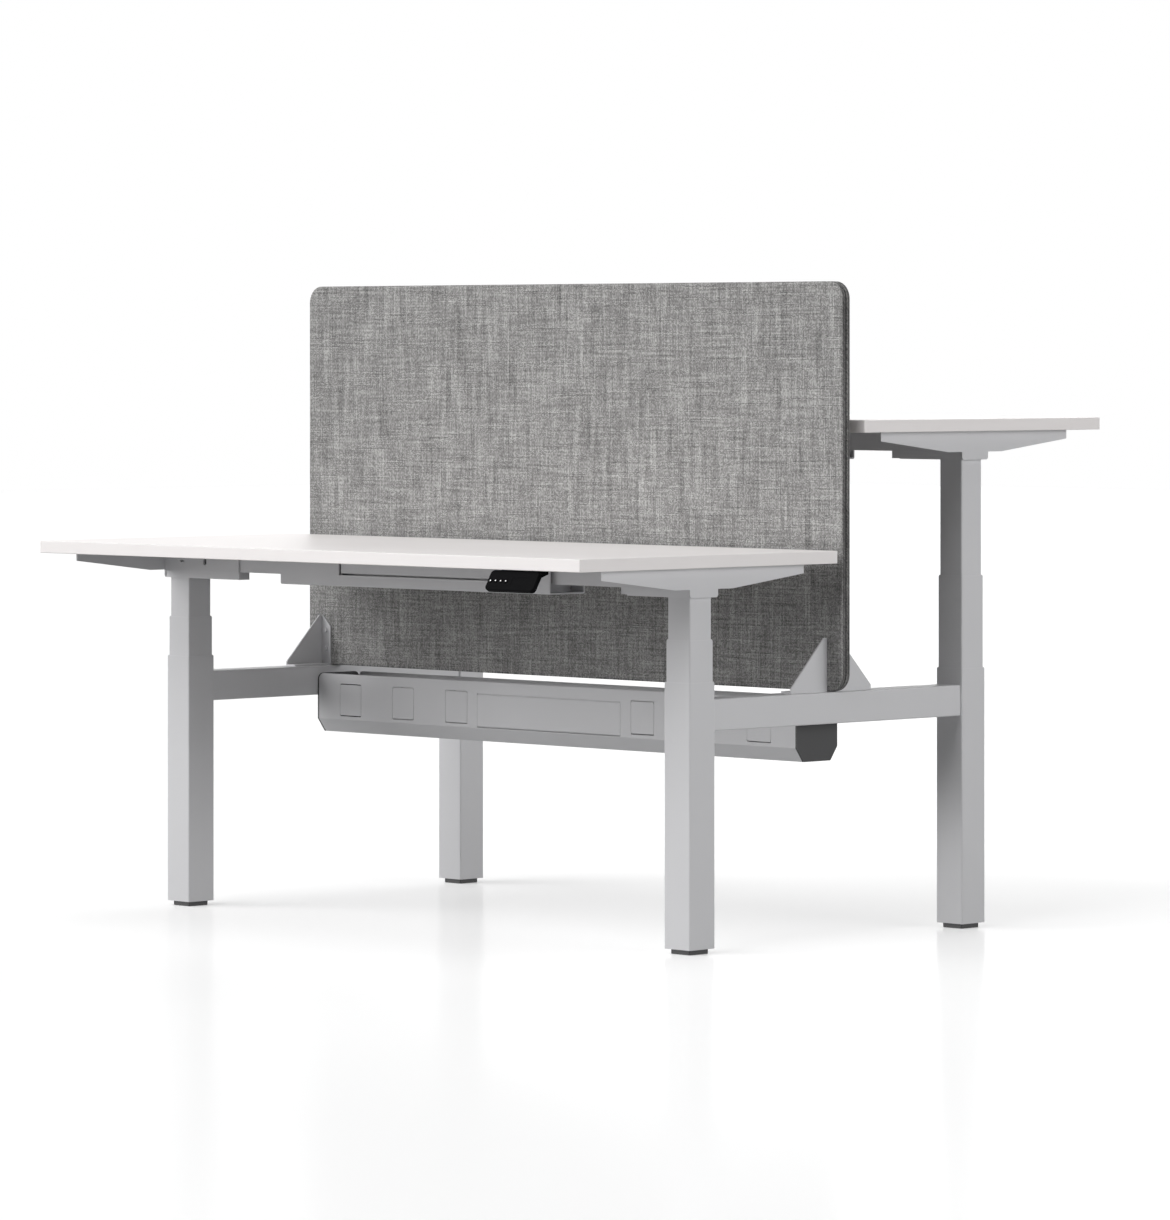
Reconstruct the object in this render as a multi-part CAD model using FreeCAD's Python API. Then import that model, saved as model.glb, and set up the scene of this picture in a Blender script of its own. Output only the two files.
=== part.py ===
"""Back-to-back sit-stand bench: two lifting desktops on one shared frame, with a cable tray and a screen.

Millimetres, +Z up, X along the desktops, front user at -Y.
The origin is on the floor, midway between the four legs.
The back desk is the front desk turned half a turn about Z, at its own height.
"""
import math
import os

import FreeCAD
import Part

# Desktops
DESK_LENGTH = 1600.0
DESK_DEPTH = 712.0
DESK_THICKNESS = 25.0
DESK_CORNER_RADIUS = 3.0
DESK_EDGE_RADIUS = 1.5
DESK_GAP = 78.0

# Heights of the desktops: shown, lowest, and the share of the lift that the middle stage takes
DESK_TOP = {"front": 774.0, "back": 1031.0}
LOWEST_DESK_TOP = 613.0
MIDDLE_SHARE = {"front": 0.494, "back": 0.4414}

# Legs and three-stage columns
LEG_PITCH_X = 1474.0
LEG_PITCH_Y = 784.0
LEG_SIDE = 70.0
TUBE_WALL = 1.5
TUBE_GAP = 1.0
TUBE_CORNER_RADIUS = 3.0
TUBE_INNER_RADIUS = 1.5
LEG_TOP = 525.0
FOOT_SIDE = 52.0
FOOT_HEIGHT = 10.0
FOOT_STEM_RADIUS = 5.0
FOOT_STEM_CLEARANCE = 0.2
FOOT_CHAMFER = 1.0
MIDDLE_FLOOR_CLEARANCE = 12.5
INNER_FLOOR_CLEARANCE = 5.5
STAGE_REST_EXPOSURE = 2.5
COLLAR_HEIGHT = 60.0
COLLAR_FLANGE = 2.0
COLLAR_FLANGE_INSET = 0.5
GLIDE_CLEARANCE = 0.3

# Lifting screws inside each column
BASE_PLATE_THICKNESS = 6.0
CARRIER_PLATE_THICKNESS = 6.0
STANDPIPE_RADIUS = 17.0
STANDPIPE_BORE = 15.0
STANDPIPE_DROP = 61.0
NUT_HEIGHT = 26.0
HOLLOW_SCREW_RADIUS = 12.0
HOLLOW_SCREW_BORE = 9.0
HOLLOW_SCREW_FOOT_GAP = 16.0
HOLLOW_SCREW_HEAD_RADIUS = 17.0
HOLLOW_SCREW_HEAD = 6.0
SLEEVE_RADIUS = 23.0
SLEEVE_BORE = 20.0
SLEEVE_DROP = 54.0
SLEEVE_CAP = 6.0
DRIVE_SCREW_RADIUS = 7.0
DRIVE_SCREW_SHORT = 18.0
DRIVE_SCREW_CHAMFER = 1.5
SCREW_CLEARANCE = 0.3
SHAFT_FIT = 0.05

# Side beams
BEAM_WIDTH = 60.0
BEAM_HEIGHT = 62.0
BEAM_TOP = 493.0
BEAM_WALL = 2.0

# Cable tray with its doors, socket covers and end caps
TRAY_HALF_WIDTH = 58.5
TRAY_BELOW_BEAM_TOP = 15.0
TRAY_WALL_HEIGHT = 97.0
TRAY_CHAMFER_HEIGHT = 28.0
TRAY_FLOOR_HALF_WIDTH = 38.5
TRAY_SHEET = 2.0
TRAY_CORNER_RADIUS = 14.0
CAP_THICKNESS = 4.0
CAP_PLUG_DEPTH = 8.0
CAP_PLUG_WALL = 2.0
COVER_SIDE = 65.0
COVERS_PER_END = 3
COVER_FROM_DOOR = 64.0
COVER_END_GAP = 100.0
COVER_ABOVE_BEND = 42.0
COVER_GAP = 0.8
COVER_SLOT = 2.2
COVER_RIM = 5.0
COVER_RIM_THICKNESS = 1.5
COVER_CORNER_RADIUS = 3.0
DOOR_LENGTH = 422.0
DOOR_TOP_ABOVE_BEND = 72.0
DOOR_BOTTOM_ABOVE_BEND = 2.0
DOOR_GAP = 0.6
DOOR_BEVEL_HEIGHT = 2.8
DOOR_BEVEL_DEPTH = 1.6
DOOR_BARREL_RADIUS = 3.9
DOOR_AXIS_INSET = 4.0
DOOR_PIN_RADIUS = 1.5
DOOR_PIN_LENGTH = 5.0
DOOR_LUG = 4.0
DOOR_LUG_HEIGHT = 9.0

# Screen and its brackets
SCREEN_OVERHANG = 42.5
SCREEN_TOP = 1306.0
SCREEN_CORNER_RADIUS = 35.0
SCREEN_CORE = 4.0
SCREEN_PAD = 10.0
SCREEN_SEAM_DEPTH = 3.0
PAD_EDGE_RADIUS = 3.5
BRACKET_OUTSET = 7.0
BRACKET_BASE = 4.0
BRACKET_BASE_WIDTH = 30.0
BRACKET_HALF_LENGTH = 115.0
BRACKET_HEIGHT = 107.0
BRACKET_PLATE_RADIUS = 4.0
BRACKET_TOE = 6.0
BRACKET_SHEET = 3.0
BRACKET_FLANGE_WIDTH = 30.0
BRACKET_FLANGE_TOP = 6.0
BRACKET_STUD_DEPTH = 3.0
BRACKET_CLAMP_RISES = (35.0, 75.0)
BRACKET_BOLT_Y = 96.0
SCREEN_LIFT = 1.0

# Frame under each desktop, measured down from the underside
ARM_SHEET = 3.0
ARM_OUTSET = 39.5
ARM_HALF_LENGTH = 280.0
ARM_END_DEPTH = 18.0
ARM_MIDDLE_DEPTH = 42.0
ARM_MIDDLE_HALF = 80.0
ARM_TAB_HALF = 39.0
ARM_TAB_RADIUS = 6.0
ARM_END_RADIUS = 2.0
ARM_BEND_RADIUS = 4.0
ARM_NOTCH_RADIUS = 1.0
ARM_FLANGE = 40.0
HEAD_DEPTH = 58.0
RAIL_WIDTH = 80.0
RAIL_DEPTH = 42.0
RAIL_SHEET = 2.5
RAIL_STEP = 4.0
RAIL_SLEEVE_SPARE = 0.5
RAIL_INNER_END = {"left": 300.0, "right": 370.0}
RAIL_SLOT_FROM_COLUMN = 91.0
RAIL_SLOT_DEPTH = 23.0
RAIL_SLOT_SIZE = (10.0, 14.0)
RAIL_SLIT_FROM_COLUMN = 19.0
RAIL_SLIT_SIZE = (14.0, 3.0)
HEAD_LENGTH = 197.0
HEAD_BODY_LENGTH = 151.0
HEAD_SIDE_WIDTH = 28.0
HEAD_HALF_WIDTH = 37.0
HEAD_WALL = 2.5
HEAD_BEVEL = 18.0
HEAD_TUBE_GAP = 0.5
MOTOR_RADIUS = 14.0
MOTOR_AXIS_DEPTH = 24.0
MOTOR_NECK_RADIUS = 10.0
MOTOR_NECK_END = 34.0
MOTOR_END_GAP = 12.0
MOTOR_EDGE_RADIUS = 2.0
GEAR_TOP = 12.0
GEAR_BOTTOM = 50.0
GEAR_BORE_TOP = 25.0
CHANNEL_HALF_LENGTH = 398.0
CHANNEL_WIDTH = 97.0
CHANNEL_DEPTH = 62.0
CHANNEL_SHEET = 3.0
CHANNEL_LIP = 25.0
BEND_RADIUS = 1.5
WINDOW_LEFT = -220.0
WINDOW_RIGHT = 366.0
WINDOW_BOTTOM = 39.0
WINDOW_SEAM = 3.5
CONTROL_FACE_RECESS = 3.0
CONTROL_SETBACK = 18.0
CONTROL_WALL = 2.5
CONTROL_TOP = 4.0
CONTROL_SIDE_GAP = 0.5
CONTROL_CORNER_RADIUS = 3.0

# Fasteners
BOLT_RADIUS = 3.0
BOLT_HOLE_RADIUS = 3.2
BOLT_HEAD_RADIUS = 5.5
BOLT_HEAD = 4.0
BOLT_TAIL = 4.0
TRAY_BOLT_Y = 34.0
TRAY_BOLT_BELOW_TOP = 21.0
SCREW_RADIUS = 2.2
SCREW_HEAD_RADIUS = 4.5
SCREW_HEAD = 2.5
SCREW_HEAD_ROUND = 1.2
SCREW_DEPTH = 14.0
ARM_SCREW_SHARES = (-0.91, -0.464, 0.464, 0.91)
ARM_SCREW_INSET = 18.0
CHANNEL_SCREW_X = (-384.0, -320.0, 384.0)
CHANNEL_SCREW_Y = 28.0

# Handset under the front edge
HANDSET_FROM_END = 180.0
HANDSET_LENGTH = 134.0
HANDSET_THICKNESS = 9.0
HANDSET_FOOT_HALF = 42.0
HANDSET_SETBACK = 5.0
HANDSET_FOOT_DEPTH = 46.0
HANDSET_FACE_LENGTH = 44.0
HANDSET_FACE_ANGLE = 60.0
HANDSET_HEEL = 8.0
HANDSET_CORNER_RADIUS = 9.0
HANDSET_EDGE_RADIUS = 2.5
KEY_RADIUS = 5.0
KEY_CLEARANCE = 0.4
KEY_PROUD = 0.9
KEY_DEPTH = 4.5
KEY_RIM_RADIUS = 0.5
KEY_POCKET_DEPTH = 6.5
KEY_OFFSETS = (-57.5, -43.5, -29.5, -15.5)
KEY_BELOW_TOP = 24.0
WINDOW_OFFSETS = (0.0, 58.0)
WINDOW_HALF_HEIGHT = 9.0
WINDOW_DEPTH = 0.4
WINDOW_CORNER_RADIUS = 3.0
HANDSET_HEEL_RADIUS = 2.0

# Values that follow from the ones above
SIDES = ("left", "right")
COLUMN_X = LEG_PITCH_X / 2
COLUMN_Y = LEG_PITCH_Y / 2
MIDDLE_SIDE = LEG_SIDE - 2 * (TUBE_WALL + TUBE_GAP)
INNER_SIDE = MIDDLE_SIDE - 2 * (TUBE_WALL + TUBE_GAP)
STANDPIPE_TOP = LEG_TOP - STANDPIPE_DROP
LOWEST_MIDDLE_FOOT = FOOT_HEIGHT + BASE_PLATE_THICKNESS + MIDDLE_FLOOR_CLEARANCE
MIDDLE_LENGTH = LEG_TOP + STAGE_REST_EXPOSURE - LOWEST_MIDDLE_FOOT
SLEEVE_TOP = MIDDLE_LENGTH - SLEEVE_DROP
HOLLOW_SCREW_LENGTH = SLEEVE_TOP - HOLLOW_SCREW_FOOT_GAP
LOWEST_INNER_FOOT = LOWEST_MIDDLE_FOOT + CARRIER_PLATE_THICKNESS + INNER_FLOOR_CLEARANCE
INNER_LENGTH_BELOW_HEAD = LOWEST_DESK_TOP - DESK_THICKNESS - HEAD_DEPTH - LOWEST_INNER_FOOT
DRIVE_SCREW_BELOW_HEAD = INNER_LENGTH_BELOW_HEAD - DRIVE_SCREW_SHORT
BEAM_BOTTOM = BEAM_TOP - BEAM_HEIGHT
TRAY_TOP = BEAM_TOP - TRAY_BELOW_BEAM_TOP
TRAY_BEND = TRAY_TOP - TRAY_WALL_HEIGHT
TRAY_BOTTOM = TRAY_BEND - TRAY_CHAMFER_HEIGHT
BEAM_INNER_FACE = COLUMN_X - BEAM_WIDTH / 2
TRAY_HALF_LENGTH = BEAM_INNER_FACE - CAP_THICKNESS
TRAY_BOLT_Z = TRAY_TOP - TRAY_BOLT_BELOW_TOP
COVER_CENTRE_HEIGHT = TRAY_BEND + COVER_ABOVE_BEND
FIRST_COVER = DOOR_LENGTH / 2 + COVER_FROM_DOOR
COVER_PITCH = (TRAY_HALF_LENGTH - FIRST_COVER - COVER_END_GAP) / (COVERS_PER_END - 1)
COVER_PLACES = tuple(FIRST_COVER + index * COVER_PITCH for index in range(COVERS_PER_END))
COVER_CENTRES = tuple(-place for place in COVER_PLACES) + COVER_PLACES
DOOR_TOP = TRAY_BEND + DOOR_TOP_ABOVE_BEND
DOOR_BOTTOM = TRAY_BEND + DOOR_BOTTOM_ABOVE_BEND
DOOR_AXIS_Y = TRAY_HALF_WIDTH - DOOR_AXIS_INSET
DOOR_AXIS_Z = DOOR_BOTTOM + DOOR_AXIS_INSET
BRACKET_TOP = BEAM_TOP + BRACKET_HEIGHT
BRACKET_X = COLUMN_X + BRACKET_OUTSET
BRACKET_BOLT_X = BRACKET_X - BRACKET_FLANGE_WIDTH / 2
BRACKET_CLAMP_HEIGHTS = tuple(BEAM_TOP + rise for rise in BRACKET_CLAMP_RISES)
SCREEN_LENGTH = 2 * (BRACKET_X + SCREEN_OVERHANG)
SCREEN_BOTTOM = BEAM_TOP + SCREEN_LIFT
SCREEN_HALF_THICKNESS = SCREEN_CORE / 2 + SCREEN_PAD
ARM_OUTER_FACE = COLUMN_X + ARM_OUTSET
ARM_INNER_FACE = ARM_OUTER_FACE - ARM_SHEET
ARM_SCREW_OFFSETS = tuple(share * ARM_HALF_LENGTH for share in ARM_SCREW_SHARES)
RAIL_TOP = -ARM_SHEET
HANDSET_X = DESK_LENGTH / 2 - HANDSET_FROM_END
DESK_FRONT = DESK_GAP / 2 + DESK_DEPTH
HANDSET_FACE_TOP = DESK_FRONT - HANDSET_SETBACK
HANDSET_BACK = HANDSET_FACE_TOP - HANDSET_FOOT_DEPTH
UNDERSIDE = {desk: top - DESK_THICKNESS for desk, top in DESK_TOP.items()}


def vector(plane, u, v, level):
    """Point with plane coordinates u, v at a level along the plane's normal axis."""
    placed = dict(zip(plane, (u, v)))
    return FreeCAD.Vector(*(placed.get(axis, level) for axis in "XYZ"))


def corner(before, point, after, radius):
    """Tangent start, middle and end of the arc that rounds one corner of an outline."""
    back = FreeCAD.Vector(before[0] - point[0], before[1] - point[1], 0).normalize()
    ahead = FreeCAD.Vector(after[0] - point[0], after[1] - point[1], 0).normalize()
    half = back.getAngle(ahead) / 2
    reach = radius / math.tan(half)
    middle = (back + ahead).normalize() * (radius / math.sin(half) - radius)
    start = (point[0] + back.x * reach, point[1] + back.y * reach)
    centre = (point[0] + middle.x, point[1] + middle.y)
    end = (point[0] + ahead.x * reach, point[1] + ahead.y * reach)
    return start, centre, end


def outline(points, plane, level):
    """Closed face through points (u, v) or (u, v, corner radius)."""
    edges = []
    stops = []
    count = len(points)
    for index, point in enumerate(points):
        radius = point[2] if len(point) > 2 else 0.0
        if radius > 0:
            start, middle, end = corner(points[index - 1], point, points[(index + 1) % count], radius)
            arc = Part.Arc(*(vector(plane, *place, level) for place in (start, middle, end)))
            stops.append((start, end, arc.toShape()))
        else:
            stops.append((point[:2], point[:2], None))
    for index, (start, end, arc) in enumerate(stops):
        if arc is not None:
            edges.append(arc)
        following = stops[(index + 1) % count][0]
        tail = vector(plane, *end, level)
        head = vector(plane, *following, level)
        if tail.distanceToPoint(head) > 1e-6:
            edges.append(Part.makeLine(tail, head))
    return Part.Face(Part.Wire(edges))


def prism(points, plane, start, end):
    """Outline carried from start to end along the plane's normal."""
    return outline(points, plane, start).extrude(vector(plane, 0, 0, end - start))


def rectangle(u0, u1, v0, v1, radius=0.0):
    """Corner points of an upright rectangle with equal corner radii."""
    return [(u0, v0, radius), (u1, v0, radius), (u1, v1, radius), (u0, v1, radius)]


def block(x0, x1, y0, y1, z0, z1):
    """Plain box between six limits."""
    return prism(rectangle(x0, x1, y0, y1), "XY", z0, z1)


def square(side, radius, z0, z1):
    """Square bar on the Z axis."""
    half = side / 2
    return prism(rectangle(-half, half, -half, half, radius), "XY", z0, z1)


def disc(radius, z0, z1):
    """Round bar on the Z axis."""
    return Part.makeCylinder(radius, z1 - z0, FreeCAD.Vector(0, 0, z0))


def rod(radius, x0, x1, y, z):
    """Round bar along X."""
    return Part.makeCylinder(radius, x1 - x0, FreeCAD.Vector(x0, y, z), FreeCAD.Vector(1, 0, 0))


def cross_rod(radius, y0, y1, x, z):
    """Round bar along Y."""
    return Part.makeCylinder(radius, y1 - y0, FreeCAD.Vector(x, y0, z), FreeCAD.Vector(0, 1, 0))


def moved(shape, x=0.0, y=0.0, z=0.0):
    """Copy of a shape shifted from where it was drawn."""
    copy = shape.copy()
    copy.translate(FreeCAD.Vector(x, y, z))
    return copy


def turned(shape, half_turns=1):
    """Copy of a shape turned about Z by whole half turns."""
    copy = shape.copy()
    copy.rotate(FreeCAD.Vector(0, 0, 0), FreeCAD.Vector(0, 0, 1), 180.0 * half_turns)
    return copy


def mirrored(shape):
    """Copy of a shape mirrored across X = 0."""
    return shape.mirror(FreeCAD.Vector(0, 0, 0), FreeCAD.Vector(1, 0, 0))


def folded(path, sheet, bend):
    """Closed outline of a folded sheet whose outer line is path, the thickness lying to its left."""
    count = len(path)
    normals = []
    for first, second in zip(path, path[1:]):
        run = math.hypot(second[0] - first[0], second[1] - first[1])
        normals.append((-(second[1] - first[1]) / run, (second[0] - first[0]) / run))
    outer = []
    inner = []
    for index, point in enumerate(path):
        before = normals[max(index - 1, 0)]
        after = normals[min(index, count - 2)]
        dot = before[0] * after[0] + before[1] * after[1]
        shift = sheet / (1 + dot)
        offset = (point[0] + (before[0] + after[0]) * shift, point[1] + (before[1] + after[1]) * shift)
        ends = index in (0, count - 1)
        leftward = before[0] * after[1] - before[1] * after[0] > 0
        outer_radius = 0.0 if ends else (bend + sheet if leftward else bend)
        inner_radius = 0.0 if ends else (bend if leftward else bend + sheet)
        outer.append((*point, outer_radius))
        inner.append((*offset, inner_radius))
    return outer + inner[::-1]


def columns():
    """Corner names and places of the four legs."""
    for desk, y in (("front", -COLUMN_Y), ("back", COLUMN_Y)):
        for side, x in zip(SIDES, (-COLUMN_X, COLUMN_X)):
            yield desk, side, x, y


def leg_tube():
    """Fixed outer stage of a column."""
    outer = square(LEG_SIDE, TUBE_CORNER_RADIUS, FOOT_HEIGHT, LEG_TOP)
    inner = square(LEG_SIDE - 2 * TUBE_WALL, TUBE_INNER_RADIUS, FOOT_HEIGHT, LEG_TOP)
    return outer.cut(inner)


def leg_base():
    """Plate welded into the foot of a leg, with the standpipe and the nut of the hollow screw."""
    plate_top = FOOT_HEIGHT + BASE_PLATE_THICKNESS
    plate = square(LEG_SIDE - 2 * TUBE_WALL, TUBE_INNER_RADIUS, FOOT_HEIGHT, plate_top)
    pipe = disc(STANDPIPE_RADIUS, plate_top, STANDPIPE_TOP)
    pipe = pipe.cut(disc(STANDPIPE_BORE, plate_top, STANDPIPE_TOP - NUT_HEIGHT))
    nut_bore = disc(HOLLOW_SCREW_RADIUS + SCREW_CLEARANCE, STANDPIPE_TOP - NUT_HEIGHT, STANDPIPE_TOP)
    plate = plate.cut(disc(FOOT_STEM_RADIUS + FOOT_STEM_CLEARANCE, FOOT_HEIGHT, plate_top))
    return plate.fuse(pipe.cut(nut_bore)).removeSplitter()


def foot_pad():
    """Square pad that closes the foot of a leg, with its stem in the base plate."""
    pad = square(FOOT_SIDE, TUBE_CORNER_RADIUS, 0.0, FOOT_HEIGHT)
    pad = pad.makeChamfer(FOOT_CHAMFER, [edge for edge in pad.Edges if edge.BoundBox.ZMax < 1e-6])
    return pad.fuse(disc(FOOT_STEM_RADIUS, FOOT_HEIGHT, FOOT_HEIGHT + BASE_PLATE_THICKNESS))


def guide_collar(tube_side, sliding_side, tube_top):
    """Glide liner in the mouth of a tube, with a thin flange on the tube's end."""
    bore = sliding_side + 2 * GLIDE_CLEARANCE
    liner = square(tube_side - 2 * TUBE_WALL, TUBE_INNER_RADIUS, tube_top - COLLAR_HEIGHT, tube_top)
    flange_side = tube_side - 2 * COLLAR_FLANGE_INSET
    flange = square(flange_side, TUBE_CORNER_RADIUS, tube_top, tube_top + COLLAR_FLANGE)
    hole = square(bore, TUBE_CORNER_RADIUS, tube_top - COLLAR_HEIGHT, tube_top + COLLAR_FLANGE)
    return liner.fuse(flange).cut(hole).removeSplitter()


def middle_tube():
    """Middle stage drawn from its own foot: tube, carrier plate and the sleeve that holds the hollow screw."""
    tube = square(MIDDLE_SIDE, TUBE_CORNER_RADIUS, 0.0, MIDDLE_LENGTH)
    tube = tube.cut(square(MIDDLE_SIDE - 2 * TUBE_WALL, TUBE_INNER_RADIUS, 0.0, MIDDLE_LENGTH))
    plate = square(MIDDLE_SIDE - 2 * TUBE_WALL, TUBE_INNER_RADIUS, 0.0, CARRIER_PLATE_THICKNESS)
    sleeve = disc(SLEEVE_RADIUS, 0.0, SLEEVE_TOP).cut(disc(SLEEVE_BORE, 0.0, SLEEVE_TOP - SLEEVE_CAP))
    sleeve = sleeve.cut(disc(HOLLOW_SCREW_RADIUS + SCREW_CLEARANCE, SLEEVE_TOP - SLEEVE_CAP, SLEEVE_TOP))
    plate = plate.cut(disc(SLEEVE_BORE, 0.0, CARRIER_PLATE_THICKNESS))
    return tube.fuse(plate.fuse(sleeve)).removeSplitter()


def hollow_screw():
    """Hollow screw hung from the sleeve's cap, drawn in the middle stage's own height."""
    seat = SLEEVE_TOP + SCREW_CLEARANCE
    top = seat + HOLLOW_SCREW_HEAD
    shank = disc(HOLLOW_SCREW_RADIUS, seat - HOLLOW_SCREW_LENGTH, seat)
    body = shank.fuse(disc(HOLLOW_SCREW_HEAD_RADIUS, seat, top))
    bore = disc(HOLLOW_SCREW_BORE, seat - HOLLOW_SCREW_LENGTH, seat - NUT_HEIGHT)
    nut = disc(DRIVE_SCREW_RADIUS + SCREW_CLEARANCE, seat - NUT_HEIGHT, top)
    return body.cut(bore.fuse(nut)).removeSplitter()


def drive_screw():
    """Solid screw hung from the gear unit, drawn down from the underside of the desktop."""
    bottom = -HEAD_DEPTH - DRIVE_SCREW_BELOW_HEAD
    screw = disc(DRIVE_SCREW_RADIUS, bottom, -GEAR_BORE_TOP - SHAFT_FIT)
    return screw.makeChamfer(DRIVE_SCREW_CHAMFER, [screw.Edges[0], screw.Edges[2]])


def inner_tube():
    """Top stage of the left column with a window for the motor's neck, at the column's own origin."""
    bottom = -HEAD_DEPTH - INNER_LENGTH_BELOW_HEAD
    top = RAIL_TOP - RAIL_SHEET
    tube = square(INNER_SIDE, TUBE_CORNER_RADIUS, bottom, top)
    tube = tube.cut(square(INNER_SIDE - 2 * TUBE_WALL, TUBE_INNER_RADIUS, bottom, top))
    neck = rod(MOTOR_NECK_RADIUS + HEAD_TUBE_GAP, 0.0, INNER_SIDE, 0.0, -MOTOR_AXIS_DEPTH)
    return tube.cut(neck)


def drive_motor():
    """Gear block that fills the tube's mouth, and the motor lying inward of it, for the left column."""
    block_side = INNER_SIDE - 2 * TUBE_WALL
    gear = square(block_side, TUBE_INNER_RADIUS, -GEAR_BOTTOM, -GEAR_TOP)
    gear = gear.cut(disc(DRIVE_SCREW_RADIUS + SHAFT_FIT, -GEAR_BOTTOM, -GEAR_BORE_TOP))
    axis_z = -MOTOR_AXIS_DEPTH
    motor_end = HEAD_LENGTH - MOTOR_END_GAP
    neck = rod(MOTOR_NECK_RADIUS, block_side / 2, MOTOR_NECK_END, 0.0, axis_z)
    can = rod(MOTOR_RADIUS, MOTOR_NECK_END, motor_end, 0.0, axis_z)
    rim = [edge for edge in can.Edges if edge.BoundBox.XMin > motor_end - 0.1]
    can = can.makeFillet(MOTOR_EDGE_RADIUS, rim)
    return gear.fuse(neck.fuse(can)).removeSplitter()


def drive_head():
    """Drive housing of the left column: bevelled body, and a longer slim box along its front."""
    outer_end = -(ARM_OUTSET - ARM_SHEET)
    top = RAIL_TOP - RAIL_SHEET - BEND_RADIUS

    def form(inset, upper):
        start = outer_end + inset
        low = -HEAD_DEPTH + inset
        front = -HEAD_HALF_WIDTH + inset
        back = HEAD_HALF_WIDTH - inset
        body_end = HEAD_BODY_LENGTH - inset
        end = HEAD_LENGTH - inset
        bevel = HEAD_BEVEL - inset * math.tan(math.pi / 8)
        body_points = [
            (start, low),
            (body_end - bevel, low),
            (body_end, low + bevel),
            (body_end, upper),
            (start, upper),
        ]
        body = prism(body_points, "XZ", front, back)
        side_box = block(start, end, front, -HEAD_HALF_WIDTH + HEAD_SIDE_WIDTH - inset, low, upper)
        roof = block(start, end, front, back, -RAIL_DEPTH + inset, upper)
        return body.fuse([side_box, roof])

    head = form(0.0, top).cut(form(HEAD_WALL, top + HEAD_WALL)).removeSplitter()
    hole = square(INNER_SIDE + 2 * HEAD_TUBE_GAP, TUBE_CORNER_RADIUS, -HEAD_DEPTH, -HEAD_DEPTH + HEAD_WALL)
    head = head.cut(hole)
    for points in rail_slots():
        head = head.cut(prism(points, "XZ", -HEAD_HALF_WIDTH, -HEAD_HALF_WIDTH + HEAD_WALL))
    return head


def rail_slots():
    """Outlines in XZ of the two slots in a rail's front wall, measured from the left column."""
    slots = (
        (RAIL_SLOT_FROM_COLUMN, RAIL_SLOT_SIZE),
        (RAIL_SLIT_FROM_COLUMN, RAIL_SLIT_SIZE),
    )
    for x, (width, height) in slots:
        radius = 0.49 * min(width, height)
        low = -RAIL_SLOT_DEPTH - height / 2
        yield rectangle(x - width / 2, x + width / 2, low, low + height, radius)


def arm():
    """Folded side arm of the right end: bow-tie web outside, flange under the desktop, at the column's Y."""
    half = [
        (ARM_HALF_LENGTH, 0.0),
        (ARM_HALF_LENGTH, -ARM_END_DEPTH, ARM_END_RADIUS),
        (ARM_MIDDLE_HALF, -ARM_MIDDLE_DEPTH, ARM_BEND_RADIUS),
        (ARM_TAB_HALF, -ARM_MIDDLE_DEPTH, ARM_NOTCH_RADIUS),
        (ARM_TAB_HALF, -HEAD_DEPTH, ARM_TAB_RADIUS),
    ]
    other = [(-point[0], *point[1:]) for point in half]
    web = prism(half + other[::-1], "YZ", ARM_INNER_FACE, ARM_OUTER_FACE)
    inner_edge = ARM_INNER_FACE - ARM_FLANGE
    flange_points = [
        (ARM_INNER_FACE, -ARM_HALF_LENGTH),
        (ARM_INNER_FACE, ARM_HALF_LENGTH),
        (inner_edge, ARM_HALF_LENGTH, ARM_TAB_RADIUS),
        (inner_edge, -ARM_HALF_LENGTH, ARM_TAB_RADIUS),
    ]
    body = web.fuse(prism(flange_points, "XY", -ARM_SHEET, 0.0)).removeSplitter()
    for offset in ARM_SCREW_OFFSETS:
        body = body.cut(moved(disc(SCREW_RADIUS, -ARM_SHEET, 0.0), ARM_INNER_FACE - ARM_SCREW_INSET, offset))
    return body


def end_rail(side):
    """Inverted channel from an arm into the middle channel, drawn for the left end at the column's Y.

    Its outer part is a wider sleeve over the drive housing, with two slots in the front wall.
    """
    half = RAIL_WIDTH / 2
    sleeve_end = -COLUMN_X + HEAD_LENGTH + RAIL_SLEEVE_SPARE
    inner_end = -RAIL_INNER_END[side]

    def section(half_width):
        right = [(half_width, -RAIL_DEPTH), (half_width, RAIL_TOP)]
        left = [(-half_width, RAIL_TOP), (-half_width, -RAIL_DEPTH)]
        return folded(right + left, RAIL_SHEET, BEND_RADIUS)

    rail = prism(section(half), "YZ", -ARM_INNER_FACE, sleeve_end)
    rail = rail.fuse(prism(section(half - RAIL_STEP), "YZ", sleeve_end, inner_end)).removeSplitter()
    for points in rail_slots():
        slot = prism(points, "XZ", -half, -half + RAIL_SHEET)
        rail = rail.cut(moved(slot, -COLUMN_X))
    for x in channel_screw_places(side):
        for y in (-CHANNEL_SCREW_Y, CHANNEL_SCREW_Y):
            rail = rail.cut(moved(disc(SCREW_RADIUS, RAIL_TOP - RAIL_SHEET, RAIL_TOP), -abs(x), y))
    return rail if side == "left" else turned(rail)


def channel_screw_places(side):
    """Places along X of the screws that join one rail and the middle channel to the desktop."""
    return [x for x in CHANNEL_SCREW_X if (x < 0) == (side == "left")]


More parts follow.
